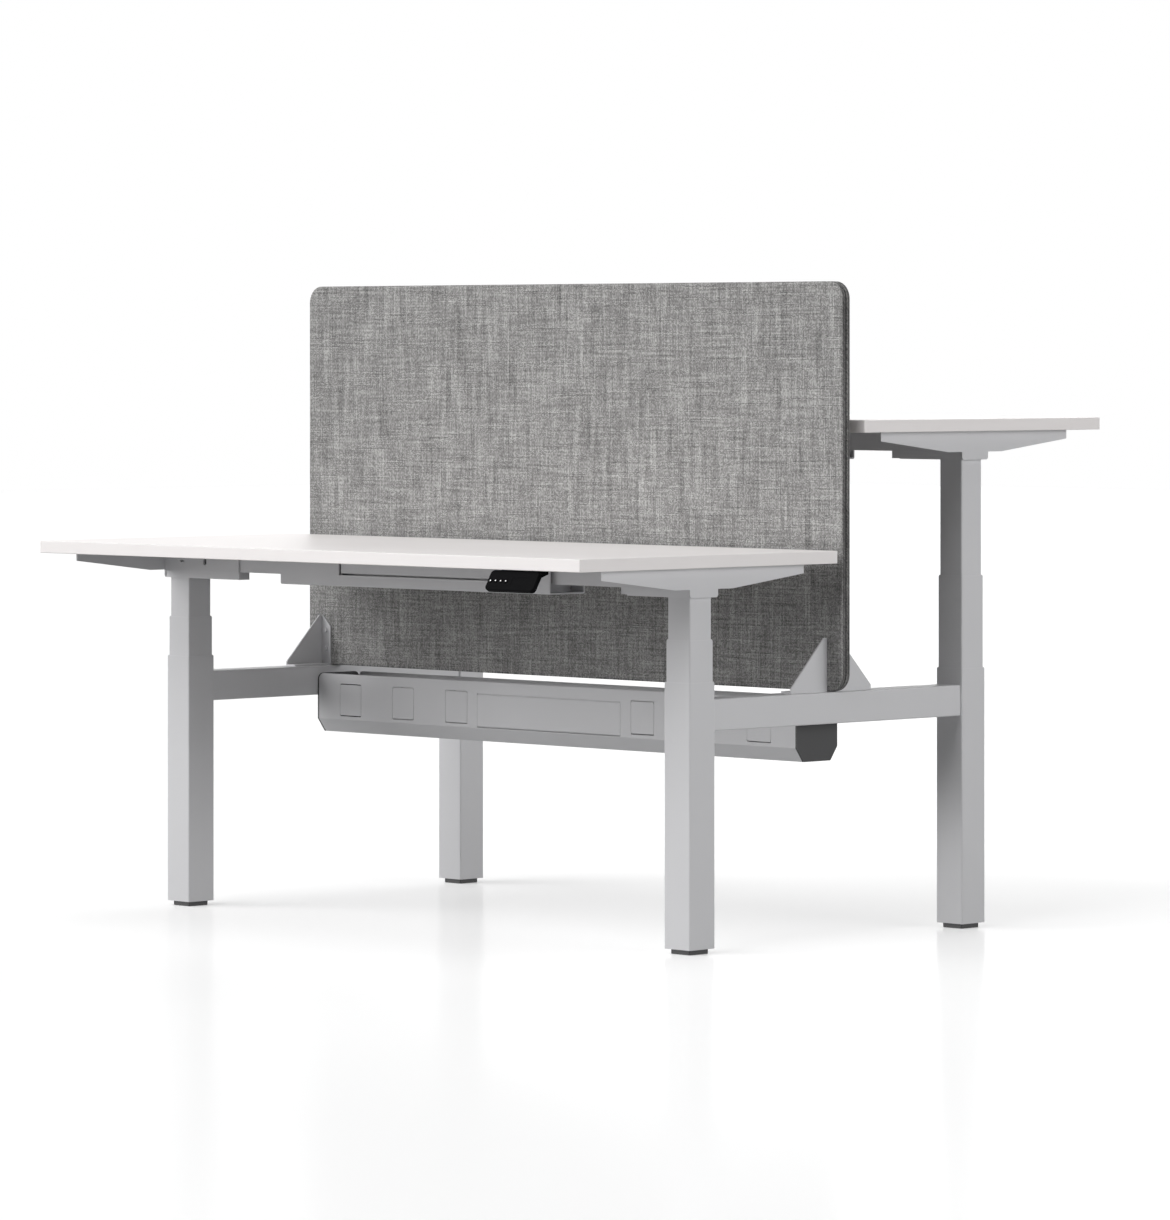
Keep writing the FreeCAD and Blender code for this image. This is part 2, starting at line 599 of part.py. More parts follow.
def middle_channel():
    """Open-ended trough that joins the two rails, with a window for the control unit in its front wall."""
    half = CHANNEL_WIDTH / 2
    lip = half - CHANNEL_LIP
    path = [(-lip, 0.0), (-half, 0.0), (-half, -CHANNEL_DEPTH), (half, -CHANNEL_DEPTH), (half, 0.0), (lip, 0.0)]
    body = prism(folded(path, CHANNEL_SHEET, BEND_RADIUS), "YZ", -CHANNEL_HALF_LENGTH, CHANNEL_HALF_LENGTH)
    body = body.cut(block(WINDOW_LEFT, WINDOW_RIGHT, -half, -lip, -WINDOW_BOTTOM, 0.0))
    for x in CHANNEL_SCREW_X:
        for y in (-CHANNEL_SCREW_Y, CHANNEL_SCREW_Y):
            body = body.cut(moved(disc(SCREW_RADIUS, -CHANNEL_SHEET, 0.0), x, y))
    return body


def control_unit():
    """Power and control housing that sits in the channel with its face in the window."""
    left = WINDOW_LEFT + WINDOW_SEAM
    right = WINDOW_RIGHT - WINDOW_SEAM
    half = CHANNEL_WIDTH / 2
    side = half - CHANNEL_SHEET - CONTROL_SIDE_GAP
    floor = -CHANNEL_DEPTH + CHANNEL_SHEET
    face = -half + CONTROL_FACE_RECESS
    shelf = -WINDOW_BOTTOM + WINDOW_SEAM
    outer = [
        (-side + CONTROL_SETBACK, floor, CONTROL_CORNER_RADIUS),
        (side, floor, CONTROL_CORNER_RADIUS),
        (side, -CONTROL_TOP),
        (face, -CONTROL_TOP),
        (face, shelf),
        (-side + CONTROL_SETBACK, shelf),
    ]
    inner_side = side - CONTROL_WALL
    body = prism(outer, "YZ", left, right)
    hollow = block(
        left + CONTROL_WALL, right - CONTROL_WALL,
        -inner_side + CONTROL_SETBACK, inner_side,
        floor + CONTROL_WALL, -CONTROL_TOP,
    )
    return body.cut(hollow)


def desktop():
    """Board with softened edges and pilot holes for the frame's screws."""
    half = DESK_LENGTH / 2
    points = rectangle(-half, half, -DESK_FRONT, -DESK_GAP / 2, DESK_CORNER_RADIUS)
    board = prism(points, "XY", 0.0, DESK_THICKNESS)
    rims = [
        edge for edge in board.Edges
        if edge.BoundBox.ZLength < 1e-6
    ]
    board = board.makeFillet(DESK_EDGE_RADIUS, rims)
    for x, y, _ in desk_screw_places():
        board = board.cut(moved(disc(SCREW_RADIUS, 0.0, SCREW_DEPTH), x, y))
    return board


def desk_screw_places():
    """Place of every screw up into the desktop, with the height of the face that its head bears on."""
    for offset in ARM_SCREW_OFFSETS:
        for x in (-ARM_INNER_FACE + ARM_SCREW_INSET, ARM_INNER_FACE - ARM_SCREW_INSET):
            yield x, -COLUMN_Y + offset, -ARM_SHEET
    for x in CHANNEL_SCREW_X:
        for y in (-CHANNEL_SCREW_Y, CHANNEL_SCREW_Y):
            yield x, -COLUMN_Y + y, RAIL_TOP - RAIL_SHEET


def desk_screws():
    """Pan-head screws that hold the frame to the desktop."""
    screws = []
    for x, y, seat in desk_screw_places():
        head = disc(SCREW_HEAD_RADIUS, seat - SCREW_HEAD, seat)
        crown = [edge for edge in head.Edges if edge.BoundBox.ZMax < seat - SCREW_HEAD + 1e-6]
        head = head.makeFillet(SCREW_HEAD_ROUND, crown)
        screws.append(moved(head.fuse(disc(SCREW_RADIUS, seat, SCREW_DEPTH)).removeSplitter(), x, y))
    return Part.makeCompound(screws)


def on_face(shape):
    """Shape drawn on the handset's face, x along it, y up it from its top edge, z out of it, set in place."""
    copy = shape.copy()
    turn = FreeCAD.Rotation(FreeCAD.Vector(1, 0, 0), HANDSET_FACE_ANGLE)
    place = FreeCAD.Placement(FreeCAD.Vector(HANDSET_X, -HANDSET_FACE_TOP, 0.0), turn)
    copy.Placement = place.multiply(copy.Placement)
    return copy


def handset_case():
    """Thin control paddle with a tilted face, key pockets and a shallow window, on a foot under the desktop."""
    half = HANDSET_LENGTH / 2
    face_view = rectangle(-half, half, -HANDSET_FACE_LENGTH, 0.0, HANDSET_CORNER_RADIUS)
    paddle = prism(face_view, "XY", -HANDSET_THICKNESS, 0.0)
    rim = [edge for edge in paddle.Edges if edge.BoundBox.ZMin > -1e-6]
    paddle = on_face(paddle.makeFillet(HANDSET_EDGE_RADIUS, rim))
    slope = math.radians(HANDSET_FACE_ANGLE)
    reach = HANDSET_FACE_LENGTH / 2
    heel_y = -HANDSET_FACE_TOP - reach * math.cos(slope) + HANDSET_THICKNESS * math.sin(slope)
    heel_z = -reach * math.sin(slope) - HANDSET_THICKNESS * math.cos(slope)
    foot_points = [
        (-HANDSET_BACK, 0.0),
        (-HANDSET_FACE_TOP + HANDSET_EDGE_RADIUS, 0.0),
        (heel_y - HANDSET_EDGE_RADIUS, heel_z),
        (heel_y + HANDSET_EDGE_RADIUS, heel_z),
        (-HANDSET_BACK, -HANDSET_HEEL, HANDSET_HEEL_RADIUS),
    ]
    foot = prism(foot_points, "YZ", HANDSET_X - HANDSET_FOOT_HALF, HANDSET_X + HANDSET_FOOT_HALF)
    body = paddle.fuse(foot).removeSplitter()
    for offset in KEY_OFFSETS:
        pocket = disc(KEY_RADIUS + KEY_CLEARANCE, -KEY_POCKET_DEPTH, KEY_PROUD)
        body = body.cut(on_face(moved(pocket, offset, -KEY_BELOW_TOP)))
    low = -KEY_BELOW_TOP - WINDOW_HALF_HEIGHT
    window = rectangle(*WINDOW_OFFSETS, low, low + 2 * WINDOW_HALF_HEIGHT, WINDOW_CORNER_RADIUS)
    return body.cut(on_face(prism(window, "XY", -WINDOW_DEPTH, KEY_PROUD)))


def handset_key(index):
    """Round push key with a softened rim, standing a little proud of the face."""
    key = disc(KEY_RADIUS, -KEY_DEPTH, KEY_PROUD)
    key = key.makeFillet(KEY_RIM_RADIUS, [edge for edge in key.Edges if edge.BoundBox.ZMin > KEY_PROUD - 0.1])
    return on_face(moved(key, KEY_OFFSETS[index], -KEY_BELOW_TOP))


def tray_path():
    """Outer line of the tray's section in YZ, from the front rim round to the back rim."""
    return [
        (-TRAY_HALF_WIDTH, TRAY_TOP),
        (-TRAY_HALF_WIDTH, TRAY_BEND),
        (-TRAY_FLOOR_HALF_WIDTH, TRAY_BOTTOM),
        (TRAY_FLOOR_HALF_WIDTH, TRAY_BOTTOM),
        (TRAY_HALF_WIDTH, TRAY_BEND),
        (TRAY_HALF_WIDTH, TRAY_TOP),
    ]


def cable_tray():
    """Folded trough between the beams, with socket openings and a door opening in each long wall."""
    tray = prism(folded(tray_path(), TRAY_SHEET, BEND_RADIUS), "YZ", -TRAY_HALF_LENGTH, TRAY_HALF_LENGTH)
    ends = rectangle(-TRAY_HALF_LENGTH, TRAY_HALF_LENGTH, TRAY_BOTTOM, TRAY_TOP)
    ends[2] = (TRAY_HALF_LENGTH, TRAY_TOP, TRAY_CORNER_RADIUS)
    ends[3] = (-TRAY_HALF_LENGTH, TRAY_TOP, TRAY_CORNER_RADIUS)
    tray = tray.common(prism(ends, "XZ", -TRAY_HALF_WIDTH, TRAY_HALF_WIDTH))
    opening = COVER_SIDE / 2 + COVER_GAP
    low = COVER_CENTRE_HEIGHT - COVER_SIDE / 2 - COVER_SLOT
    high = COVER_CENTRE_HEIGHT + COVER_SIDE / 2 + COVER_SLOT
    wall_span = (-TRAY_HALF_WIDTH, TRAY_HALF_WIDTH)
    for x in COVER_CENTRES:
        points = rectangle(x - opening, x + opening, low, high, COVER_CORNER_RADIUS)
        tray = tray.cut(prism(points, "XZ", *wall_span))
    half_door = DOOR_LENGTH / 2 + DOOR_GAP
    door = rectangle(-half_door, half_door, DOOR_BOTTOM - DOOR_GAP, DOOR_TOP + DOOR_GAP)
    tray = tray.cut(prism(door, "XZ", *wall_span))
    lugs = []
    for end in (-1.0, 1.0):
        for wall in (-1.0, 1.0):
            lugs.append(door_lug(end, wall, half_door))
    return tray.fuse(lugs).removeSplitter()


def door_lug(end, wall, half_door):
    """Ear behind one wall that carries one pin of a door."""
    start, stop = sorted((end * half_door, end * (half_door + DOOR_LUG)))
    inner_face = TRAY_HALF_WIDTH - TRAY_SHEET
    depth = DOOR_AXIS_Y - DOOR_LUG_HEIGHT / 2
    low = DOOR_AXIS_Z - DOOR_LUG_HEIGHT / 2
    high = DOOR_AXIS_Z + DOOR_LUG_HEIGHT / 2
    near, far = sorted((wall * inner_face, wall * depth))
    ear = block(start, stop, near, far, low, high)
    return ear.cut(rod(DOOR_PIN_RADIUS + SHAFT_FIT, start, stop, wall * DOOR_AXIS_Y, DOOR_AXIS_Z))


def tray_door():
    """Front access door: flush plate bevelled along its top, with a barrel and pins along its lower edge."""
    half = DOOR_LENGTH / 2
    face = -TRAY_HALF_WIDTH
    back = face + TRAY_SHEET
    section = [
        (face, DOOR_AXIS_Z),
        (face, DOOR_TOP - DOOR_BEVEL_HEIGHT),
        (face + DOOR_BEVEL_DEPTH, DOOR_TOP),
        (back, DOOR_TOP),
        (back, DOOR_AXIS_Z),
    ]
    plate = prism(section, "YZ", -half, half)
    barrel = rod(DOOR_BARREL_RADIUS, -half, half, -DOOR_AXIS_Y, DOOR_AXIS_Z)
    pins = rod(DOOR_PIN_RADIUS, -half - DOOR_PIN_LENGTH, half + DOOR_PIN_LENGTH, -DOOR_AXIS_Y, DOOR_AXIS_Z)
    return plate.fuse([barrel, pins]).removeSplitter()


def socket_covers():
    """Blanking covers: a flush face with finger slots above and below, and side rims behind the wall."""
    half = COVER_SIDE / 2
    rim = half + COVER_RIM
    face = -TRAY_HALF_WIDTH
    back = face + TRAY_SHEET
    covers = []
    for x in COVER_CENTRES:
        low = COVER_CENTRE_HEIGHT - half
        high = COVER_CENTRE_HEIGHT + half
        front = prism(rectangle(x - half, x + half, low, high, COVER_CORNER_RADIUS), "XZ", face, back)
        rear_points = rectangle(x - rim, x + rim, low, high, COVER_CORNER_RADIUS)
        cover = front.fuse(prism(rear_points, "XZ", back, back + COVER_RIM_THICKNESS)).removeSplitter()
        covers.append(cover)
        covers.append(turned(cover))
    return Part.makeCompound(covers)


def tray_end_caps():
    """Moulded caps that close the tray's ends and bear on the beams."""
    wall = TRAY_HALF_WIDTH
    points = [
        (-wall, TRAY_TOP, TRAY_CORNER_RADIUS),
        (-wall, TRAY_BEND, BEND_RADIUS),
        (-TRAY_FLOOR_HALF_WIDTH, TRAY_BOTTOM, BEND_RADIUS),
        (TRAY_FLOOR_HALF_WIDTH, TRAY_BOTTOM, BEND_RADIUS),
        (wall, TRAY_BEND, BEND_RADIUS),
        (wall, TRAY_TOP, TRAY_CORNER_RADIUS),
    ]
    plate = prism(points, "YZ", TRAY_HALF_LENGTH, BEAM_INNER_FACE)
    sheet_line = folded(tray_path(), TRAY_SHEET, BEND_RADIUS)
    inner_line = [point[:2] for point in sheet_line[len(sheet_line) // 2:]][::-1]
    plug_line = folded(inner_line, CAP_PLUG_WALL, BEND_RADIUS)
    plug = prism(plug_line, "YZ", TRAY_HALF_LENGTH - CAP_PLUG_DEPTH, TRAY_HALF_LENGTH)
    plug = plug.cut(block(0.0, BEAM_INNER_FACE, -wall, wall, TRAY_TOP - TRAY_CORNER_RADIUS, TRAY_TOP))
    cap = plate.fuse(plug).removeSplitter()
    for y in (-TRAY_BOLT_Y, TRAY_BOLT_Y):
        cap = cap.cut(rod(BOLT_HOLE_RADIUS, TRAY_HALF_LENGTH, BEAM_INNER_FACE, y, TRAY_BOLT_Z))
    return Part.makeCompound([cap, turned(cap)])


def side_beam():
    """Rectangular tube between the right-hand legs, with holes for the tray and the screen bracket."""
    half_width = BEAM_WIDTH / 2
    reach = COLUMN_Y - LEG_SIDE / 2
    outer = rectangle(COLUMN_X - half_width, COLUMN_X + half_width, BEAM_BOTTOM, BEAM_TOP, TUBE_CORNER_RADIUS)
    wall = BEAM_WALL
    inner = rectangle(
        COLUMN_X - half_width + wall, COLUMN_X + half_width - wall,
        BEAM_BOTTOM + wall, BEAM_TOP - wall,
        TUBE_INNER_RADIUS,
    )
    beam = prism(outer, "XZ", -reach, reach).cut(prism(inner, "XZ", -reach, reach))
    for y in (-TRAY_BOLT_Y, TRAY_BOLT_Y):
        beam = beam.cut(rod(BOLT_HOLE_RADIUS, BEAM_INNER_FACE, BEAM_INNER_FACE + wall, y, TRAY_BOLT_Z))
    for y in (-BRACKET_BOLT_Y, BRACKET_BOLT_Y):
        beam = beam.cut(moved(disc(BOLT_HOLE_RADIUS, BEAM_TOP - wall, BEAM_TOP), BRACKET_BOLT_X, y))
    return beam


def screen_bracket():
    """Bracket of the right end in two welded halves: base and grip flange inside, gusset outside."""
    half = bracket_half()
    return Part.makeCompound([half, half.mirror(FreeCAD.Vector(0, 0, 0), FreeCAD.Vector(0, 1, 0))])


def bracket_half():
    """Front half of the right end's bracket."""
    base_top = BEAM_TOP + BRACKET_BASE
    outer = BRACKET_X + BRACKET_SHEET / 2
    inner = outer - BRACKET_BASE_WIDTH
    grip = -SCREEN_HALF_THICKNESS
    back = grip - BRACKET_SHEET
    base_points = [
        (inner, -BRACKET_HALF_LENGTH, BRACKET_PLATE_RADIUS),
        (outer, -BRACKET_HALF_LENGTH),
        (outer, grip),
        (inner, grip),
    ]
    gusset = [
        (-BRACKET_HALF_LENGTH, base_top),
        (-BRACKET_HALF_LENGTH, base_top + BRACKET_TOE),
        (back - BRACKET_TOE, BRACKET_TOP, BRACKET_PLATE_RADIUS),
        (back, BRACKET_TOP),
        (back, base_top),
    ]
    flange = [
        (outer - BRACKET_FLANGE_WIDTH, base_top),
        (outer, base_top),
        (outer, BRACKET_TOP),
        (outer - BRACKET_FLANGE_TOP, BRACKET_TOP),
        (outer - BRACKET_FLANGE_WIDTH, BRACKET_TOP - BRACKET_FLANGE_WIDTH + BRACKET_FLANGE_TOP),
    ]
    half = prism(base_points, "XY", BEAM_TOP, base_top)
    half = half.fuse([prism(gusset, "YZ", outer - BRACKET_SHEET, outer), prism(flange, "XZ", back, grip)])
    half = half.removeSplitter()
    for z in BRACKET_CLAMP_HEIGHTS:
        half = half.cut(clamp_hole(z))
    socket = disc(BOLT_RADIUS, BEAM_TOP, BEAM_TOP + BRACKET_STUD_DEPTH)
    return half.cut(moved(socket, BRACKET_BOLT_X, -BRACKET_BOLT_Y))


def clamp_hole(z):
    """Hole through the screen and both flanges of the right bracket."""
    reach = SCREEN_HALF_THICKNESS + BRACKET_SHEET
    return cross_rod(BOLT_HOLE_RADIUS, -reach, reach, BRACKET_BOLT_X, z)


def screen_panel(inset, y0, y1):
    """Upright panel with rounded corners and the clamp holes, inset from the screen's outline."""
    half = SCREEN_LENGTH / 2 - inset
    points = rectangle(-half, half, SCREEN_BOTTOM + inset, SCREEN_TOP - inset, SCREEN_CORNER_RADIUS - inset)
    return prism(points, "XZ", y0, y1)


def screen_holes(panel):
    """Panel with the clamp holes of both brackets."""
    for z in BRACKET_CLAMP_HEIGHTS:
        panel = panel.cut(clamp_hole(z))
        panel = panel.cut(turned(clamp_hole(z)))
    return panel


def screen_core():
    """Board between the pads."""
    half = SCREEN_CORE / 2
    return screen_holes(screen_panel(SCREEN_SEAM_DEPTH, -half, half))


def screen_pad():
    """Front upholstered pad with a softened outer edge."""
    front = -SCREEN_HALF_THICKNESS
    pad = screen_panel(0.0, front, -SCREEN_CORE / 2)
    rims = [edge for edge in pad.Edges if edge.BoundBox.YMax < front + 1e-6]
    return screen_holes(pad.makeFillet(PAD_EDGE_RADIUS, rims))


def frame_bolts():
    """Bolts of the tray, the bracket bases and the screen clamps."""
    bolts = []
    for y in (-TRAY_BOLT_Y, TRAY_BOLT_Y):
        head = rod(BOLT_HEAD_RADIUS, TRAY_HALF_LENGTH - BOLT_HEAD, TRAY_HALF_LENGTH, y, TRAY_BOLT_Z)
        shank_end = BEAM_INNER_FACE + BEAM_WALL + BOLT_TAIL
        bolts.append(head.fuse(rod(BOLT_RADIUS, TRAY_HALF_LENGTH, shank_end, y, TRAY_BOLT_Z)))
    for y in (-BRACKET_BOLT_Y, BRACKET_BOLT_Y):
        under = BEAM_TOP - BEAM_WALL
        nut = disc(BOLT_HEAD_RADIUS, under - BOLT_HEAD, under)
        stud = disc(BOLT_RADIUS, under - BOLT_HEAD - BOLT_TAIL, BEAM_TOP + BRACKET_STUD_DEPTH)
        bolts.append(moved(nut.fuse(stud), BRACKET_BOLT_X, y))
    grip = SCREEN_HALF_THICKNESS + BRACKET_SHEET
    for z in BRACKET_CLAMP_HEIGHTS:
        heads = [
            cross_rod(BOLT_HEAD_RADIUS, -grip - BOLT_HEAD, -grip, BRACKET_BOLT_X, z),
            cross_rod(BOLT_HEAD_RADIUS, grip, grip + BOLT_HEAD, BRACKET_BOLT_X, z),
        ]
        bolts.append(cross_rod(BOLT_RADIUS, -grip, grip, BRACKET_BOLT_X, z).fuse(heads))
    clean = [bolt.removeSplitter() for bolt in bolts]
    return Part.makeCompound(clean + [turned(bolt) for bolt in clean])


def base_nodes():
    """Nodes that stand still."""
    nodes = {}
    for desk, side, x, y in columns():
        nodes[f"{desk}_{side}_leg_tube"] = moved(leg_tube(), x, y)
    grouped = {
        "leg_base_plates": leg_base(),
        "leg_guide_collars": guide_collar(LEG_SIDE, MIDDLE_SIDE, LEG_TOP),
        "foot_pads": foot_pad(),
    }
    for name, shape in grouped.items():
        nodes[name] = Part.makeCompound([moved(shape, x, y) for _, _, x, y in columns()])
    nodes["right_side_beam"] = side_beam()
    nodes["left_side_beam"] = turned(side_beam())
    nodes["cable_tray"] = cable_tray()
    nodes["tray_end_caps"] = tray_end_caps()
    nodes["tray_socket_covers"] = socket_covers()
    nodes["tray_front_door"] = tray_door()
    nodes["tray_back_door"] = turned(tray_door())
    nodes["screen_core"] = screen_core()
    nodes["screen_front_pad"] = screen_pad()
    nodes["screen_back_pad"] = turned(screen_pad())
    nodes["right_screen_bracket"] = screen_bracket()
    nodes["left_screen_bracket"] = turned(screen_bracket())
    nodes["frame_bolts"] = frame_bolts()
    return nodes


def on_columns(shape):
    """The left column's piece of the front desk and its twin, turned half a turn, on the right column."""
    return Part.makeCompound([moved(shape, -COLUMN_X, -COLUMN_Y), moved(turned(shape), COLUMN_X, -COLUMN_Y)])


def lifting_nodes(desk):
    """Nodes that rise with one desktop, drawn for the front desk and set in place for the one named."""
    arm_shape = moved(arm(), y=-COLUMN_Y)
    drawn = {
        "desktop": desktop(),
        "side_arms": Part.makeCompound([mirrored(arm_shape), arm_shape]),
        "end_rails": Part.makeCompound([moved(end_rail(side), y=-COLUMN_Y) for side in SIDES]),
        "drive_housings": on_columns(drive_head()),
        "drive_motors": on_columns(drive_motor()),
        "inner_tubes": on_columns(inner_tube()),
        "middle_channel": moved(middle_channel(), y=-COLUMN_Y),
        "control_unit": moved(control_unit(), y=-COLUMN_Y),
        "desk_screws": desk_screws(),
        "handset_case": handset_case(),
    }
    for index in range(len(KEY_OFFSETS)):
        drawn[f"handset_key_{index + 1}"] = handset_key(index)
    half_turns = 0 if desk == "front" else 1
    return {
        f"{desk}_{name}": moved(turned(shape, half_turns), z=UNDERSIDE[desk])
        for name, shape in drawn.items()
    }


def column_nodes(desk):
    """Middle stages and lifting screws of one desk's two columns."""
    lowered = DESK_TOP[desk] - LOWEST_DESK_TOP
    middle_top = LEG_TOP + STAGE_REST_EXPOSURE + MIDDLE_SHARE[desk] * lowered
    foot = middle_top - MIDDLE_LENGTH
    collar = guide_collar(MIDDLE_SIDE, INNER_SIDE, middle_top)
    places = [(side, x, y) for name, side, x, y in columns() if name == desk]
    nodes = {
        f"{desk}_middle_tubes": Part.makeCompound([moved(middle_tube(), x, y, foot) for _, x, y in places]),
        f"{desk}_middle_collars": Part.makeCompound([moved(collar, x, y) for _, x, y in places]),
    }
    for side, x, y in places:
        nodes[f"{desk}_{side}_hollow_screw"] = moved(hollow_screw(), x, y, foot)
        nodes[f"{desk}_{side}_drive_screw"] = moved(drive_screw(), x, y, UNDERSIDE[desk])
    return nodes


def main():
    """Draw every node and write it out."""
    nodes = base_nodes()
    for desk in ("front", "back"):
        nodes.update(lifting_nodes(desk))
        nodes.update(column_nodes(desk))
    os.makedirs("parts", exist_ok=True)
    for name, shape in nodes.items():
        shape.exportStep(f"parts/{name}.step")


main()
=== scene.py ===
"""Studio picture of a back-to-back sit-stand bench.

Two lifting desktops stand on one shared frame with a cable tray and a fabric screen.
"""
import logging
import math
from dataclasses import dataclass, field
from enum import Enum
from typing import Any, Iterable, Optional

import bpy
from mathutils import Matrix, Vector


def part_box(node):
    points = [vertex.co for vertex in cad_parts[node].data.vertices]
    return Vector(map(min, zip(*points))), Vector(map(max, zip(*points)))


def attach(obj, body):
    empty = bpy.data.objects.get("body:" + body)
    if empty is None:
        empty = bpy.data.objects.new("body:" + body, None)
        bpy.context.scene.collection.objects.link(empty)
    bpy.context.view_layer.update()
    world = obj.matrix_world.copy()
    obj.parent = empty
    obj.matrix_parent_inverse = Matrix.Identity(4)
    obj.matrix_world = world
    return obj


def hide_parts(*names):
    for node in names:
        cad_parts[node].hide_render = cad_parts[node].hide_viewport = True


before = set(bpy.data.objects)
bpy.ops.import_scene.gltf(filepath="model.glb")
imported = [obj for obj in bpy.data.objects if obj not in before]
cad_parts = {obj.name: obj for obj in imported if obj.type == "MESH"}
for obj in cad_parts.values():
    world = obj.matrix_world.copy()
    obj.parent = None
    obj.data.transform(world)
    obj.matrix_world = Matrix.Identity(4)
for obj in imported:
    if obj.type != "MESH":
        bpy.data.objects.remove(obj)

LOG = logging.getLogger("bench")
MM = 0.001

# Sockets of the mix node, which repeats its names for every kind of value.
SHARE = 0
VALUE_A, VALUE_B = 2, 3
COLOUR_A, COLOUR_B, MIXED_COLOUR = 6, 7, 2


class Desk(Enum):
    """The two desktops of the bench, by the side they stand on."""

    FRONT = "front"
    BACK = "back"


class Side(Enum):
    """Which way out of the screen a pad faces along Y."""

    FRONT = -1.0
    BACK = 1.0


def linear(hex_colour: str) -> tuple[float, float, float, float]:
    """Turn an sRGB hex colour into linear RGBA.

    Args:
        hex_colour: Six hex digits, with or without a leading hash.

    Returns:
        Linear red, green and blue with full alpha.
    """
    digits = hex_colour.lstrip("#")
    values = [int(digits[i : i + 2], 16) / 255.0 for i in (0, 2, 4)]
    red, green, blue = (v / 12.92 if v <= 0.04045 else ((v + 0.055) / 1.055) ** 2.4 for v in values)
    return (red, green, blue, 1.0)


def add(
    tree: bpy.types.NodeTree,
    kind: str,
    settings: Optional[dict[str, Any]] = None,
    sockets: Optional[dict[Any, Any]] = None,
) -> bpy.types.Node:
    """Add one shader node with its settings, constants and links.

    Args:
        tree: Node tree to add to.
        kind: Node class name.
        settings: Attributes of the node.
        sockets: Input name or index to a constant, or to an output socket to link from.

    Returns:
        The new node.
    """
    node = tree.nodes.new(kind)
    for name, value in (settings or {}).items():
        setattr(node, name, value)
    for key, value in (sockets or {}).items():
        if isinstance(value, bpy.types.NodeSocket):
            tree.links.new(value, node.inputs[key])
        else:
            node.inputs[key].default_value = value
    return node


def looked_at(tree: bpy.types.NodeTree) -> bpy.types.NodeSocket:
    """Whether a ray comes from the camera or from a mirror-like bounce, for the floor and the surround.

    Args:
        tree: Node tree to add to.

    Returns:
        A value socket, one where the background is seen and nought where it only lights.
    """
    path = add(tree, "ShaderNodeLightPath").outputs
    seen = path["Is Camera Ray"]
    for bounce in ("Is Glossy Ray", "Is Transmission Ray"):
        seen = add(tree, "ShaderNodeMath", {"operation": "MAXIMUM"}, {0: seen, 1: path[bounce]}).outputs[0]
    return seen


@dataclass(frozen=True)
class Finish:
    """A named finish that builds one material."""

    name: str

    def build(self) -> bpy.types.Material:
        """Make the material.

        Returns:
            A node material with its surface linked.
        """
        material = bpy.data.materials.new(self.name)
        material.use_nodes = True
        tree = material.node_tree
        tree.nodes.clear()
        surface = self.surface(tree)
        add(tree, "ShaderNodeOutputMaterial", sockets={"Surface": surface})
        return material

    def surface(self, tree: bpy.types.NodeTree) -> bpy.types.NodeSocket:
        """Build the surface shader in the tree and return its socket."""
        raise NotImplementedError

    @staticmethod
    def place(tree: bpy.types.NodeTree) -> bpy.types.NodeSocket:
        """Position on the piece in millimetres, as a vector socket."""
        where = add(tree, "ShaderNodeTexCoord").outputs["Object"]
        scale = {"Vector": where, "Scale": (1.0 / MM, 1.0 / MM, 1.0 / MM)}
        return add(tree, "ShaderNodeMapping", sockets=scale).outputs["Vector"]


@dataclass(frozen=True)
class Coating(Finish):
    """Even coat or moulded skin with a fine grain: powder coat, laminate or plastic.

    The grain breaks up the reflection, and a broad drift of tone keeps large faces from looking flat.
    The roughness varies with the grain by a share of itself either way.
    """

    colour: str
    shade: str
    roughness: float
    grain_mm: float
    grain_height_mm: float
    drift_mm: float = 220.0
    metallic: float = 0.0
    ior: float = 1.5
    specular: float = 0.5
    noise_detail: float = 2.0
    roughness_share: float = 0.1
    relief: float = 0.6

    def surface(self, tree: bpy.types.NodeTree) -> bpy.types.NodeSocket:
        """Principled surface with grain and drift.

        Args:
            tree: Node tree of the material.

        Returns:
            The shader socket.
        """
        where = self.place(tree)
        patterns = []
        for size_mm in (self.drift_mm, self.grain_mm):
            scaled = {"Vector": where, "Scale": 1.0 / size_mm, "Detail": self.noise_detail}
            patterns.append(add(tree, "ShaderNodeTexNoise", sockets=scaled).outputs[0])
        drift, grain = patterns
        mixed = {SHARE: drift, COLOUR_A: linear(self.shade), COLOUR_B: linear(self.colour)}
        tone = add(tree, "ShaderNodeMix", {"data_type": "RGBA"}, mixed).outputs[MIXED_COLOUR]
        least, most = (self.roughness * (1.0 + way * self.roughness_share) for way in (-1.0, 1.0))
        spread = {"Value": grain, "To Min": least, "To Max": most}
        rough = add(tree, "ShaderNodeMapRange", sockets=spread).outputs["Result"]
        relief = {"Height": grain, "Distance": self.grain_height_mm * MM, "Strength": self.relief}
        bump = add(tree, "ShaderNodeBump", sockets=relief).outputs["Normal"]
        sockets = {
            "Base Color": tone,
            "Roughness": rough,
            "Normal": bump,
            "Metallic": self.metallic,
            "IOR": self.ior,
            "Specular IOR Level": self.specular,
        }
        return add(tree, "ShaderNodeBsdfPrincipled", sockets=sockets).outputs["BSDF"]


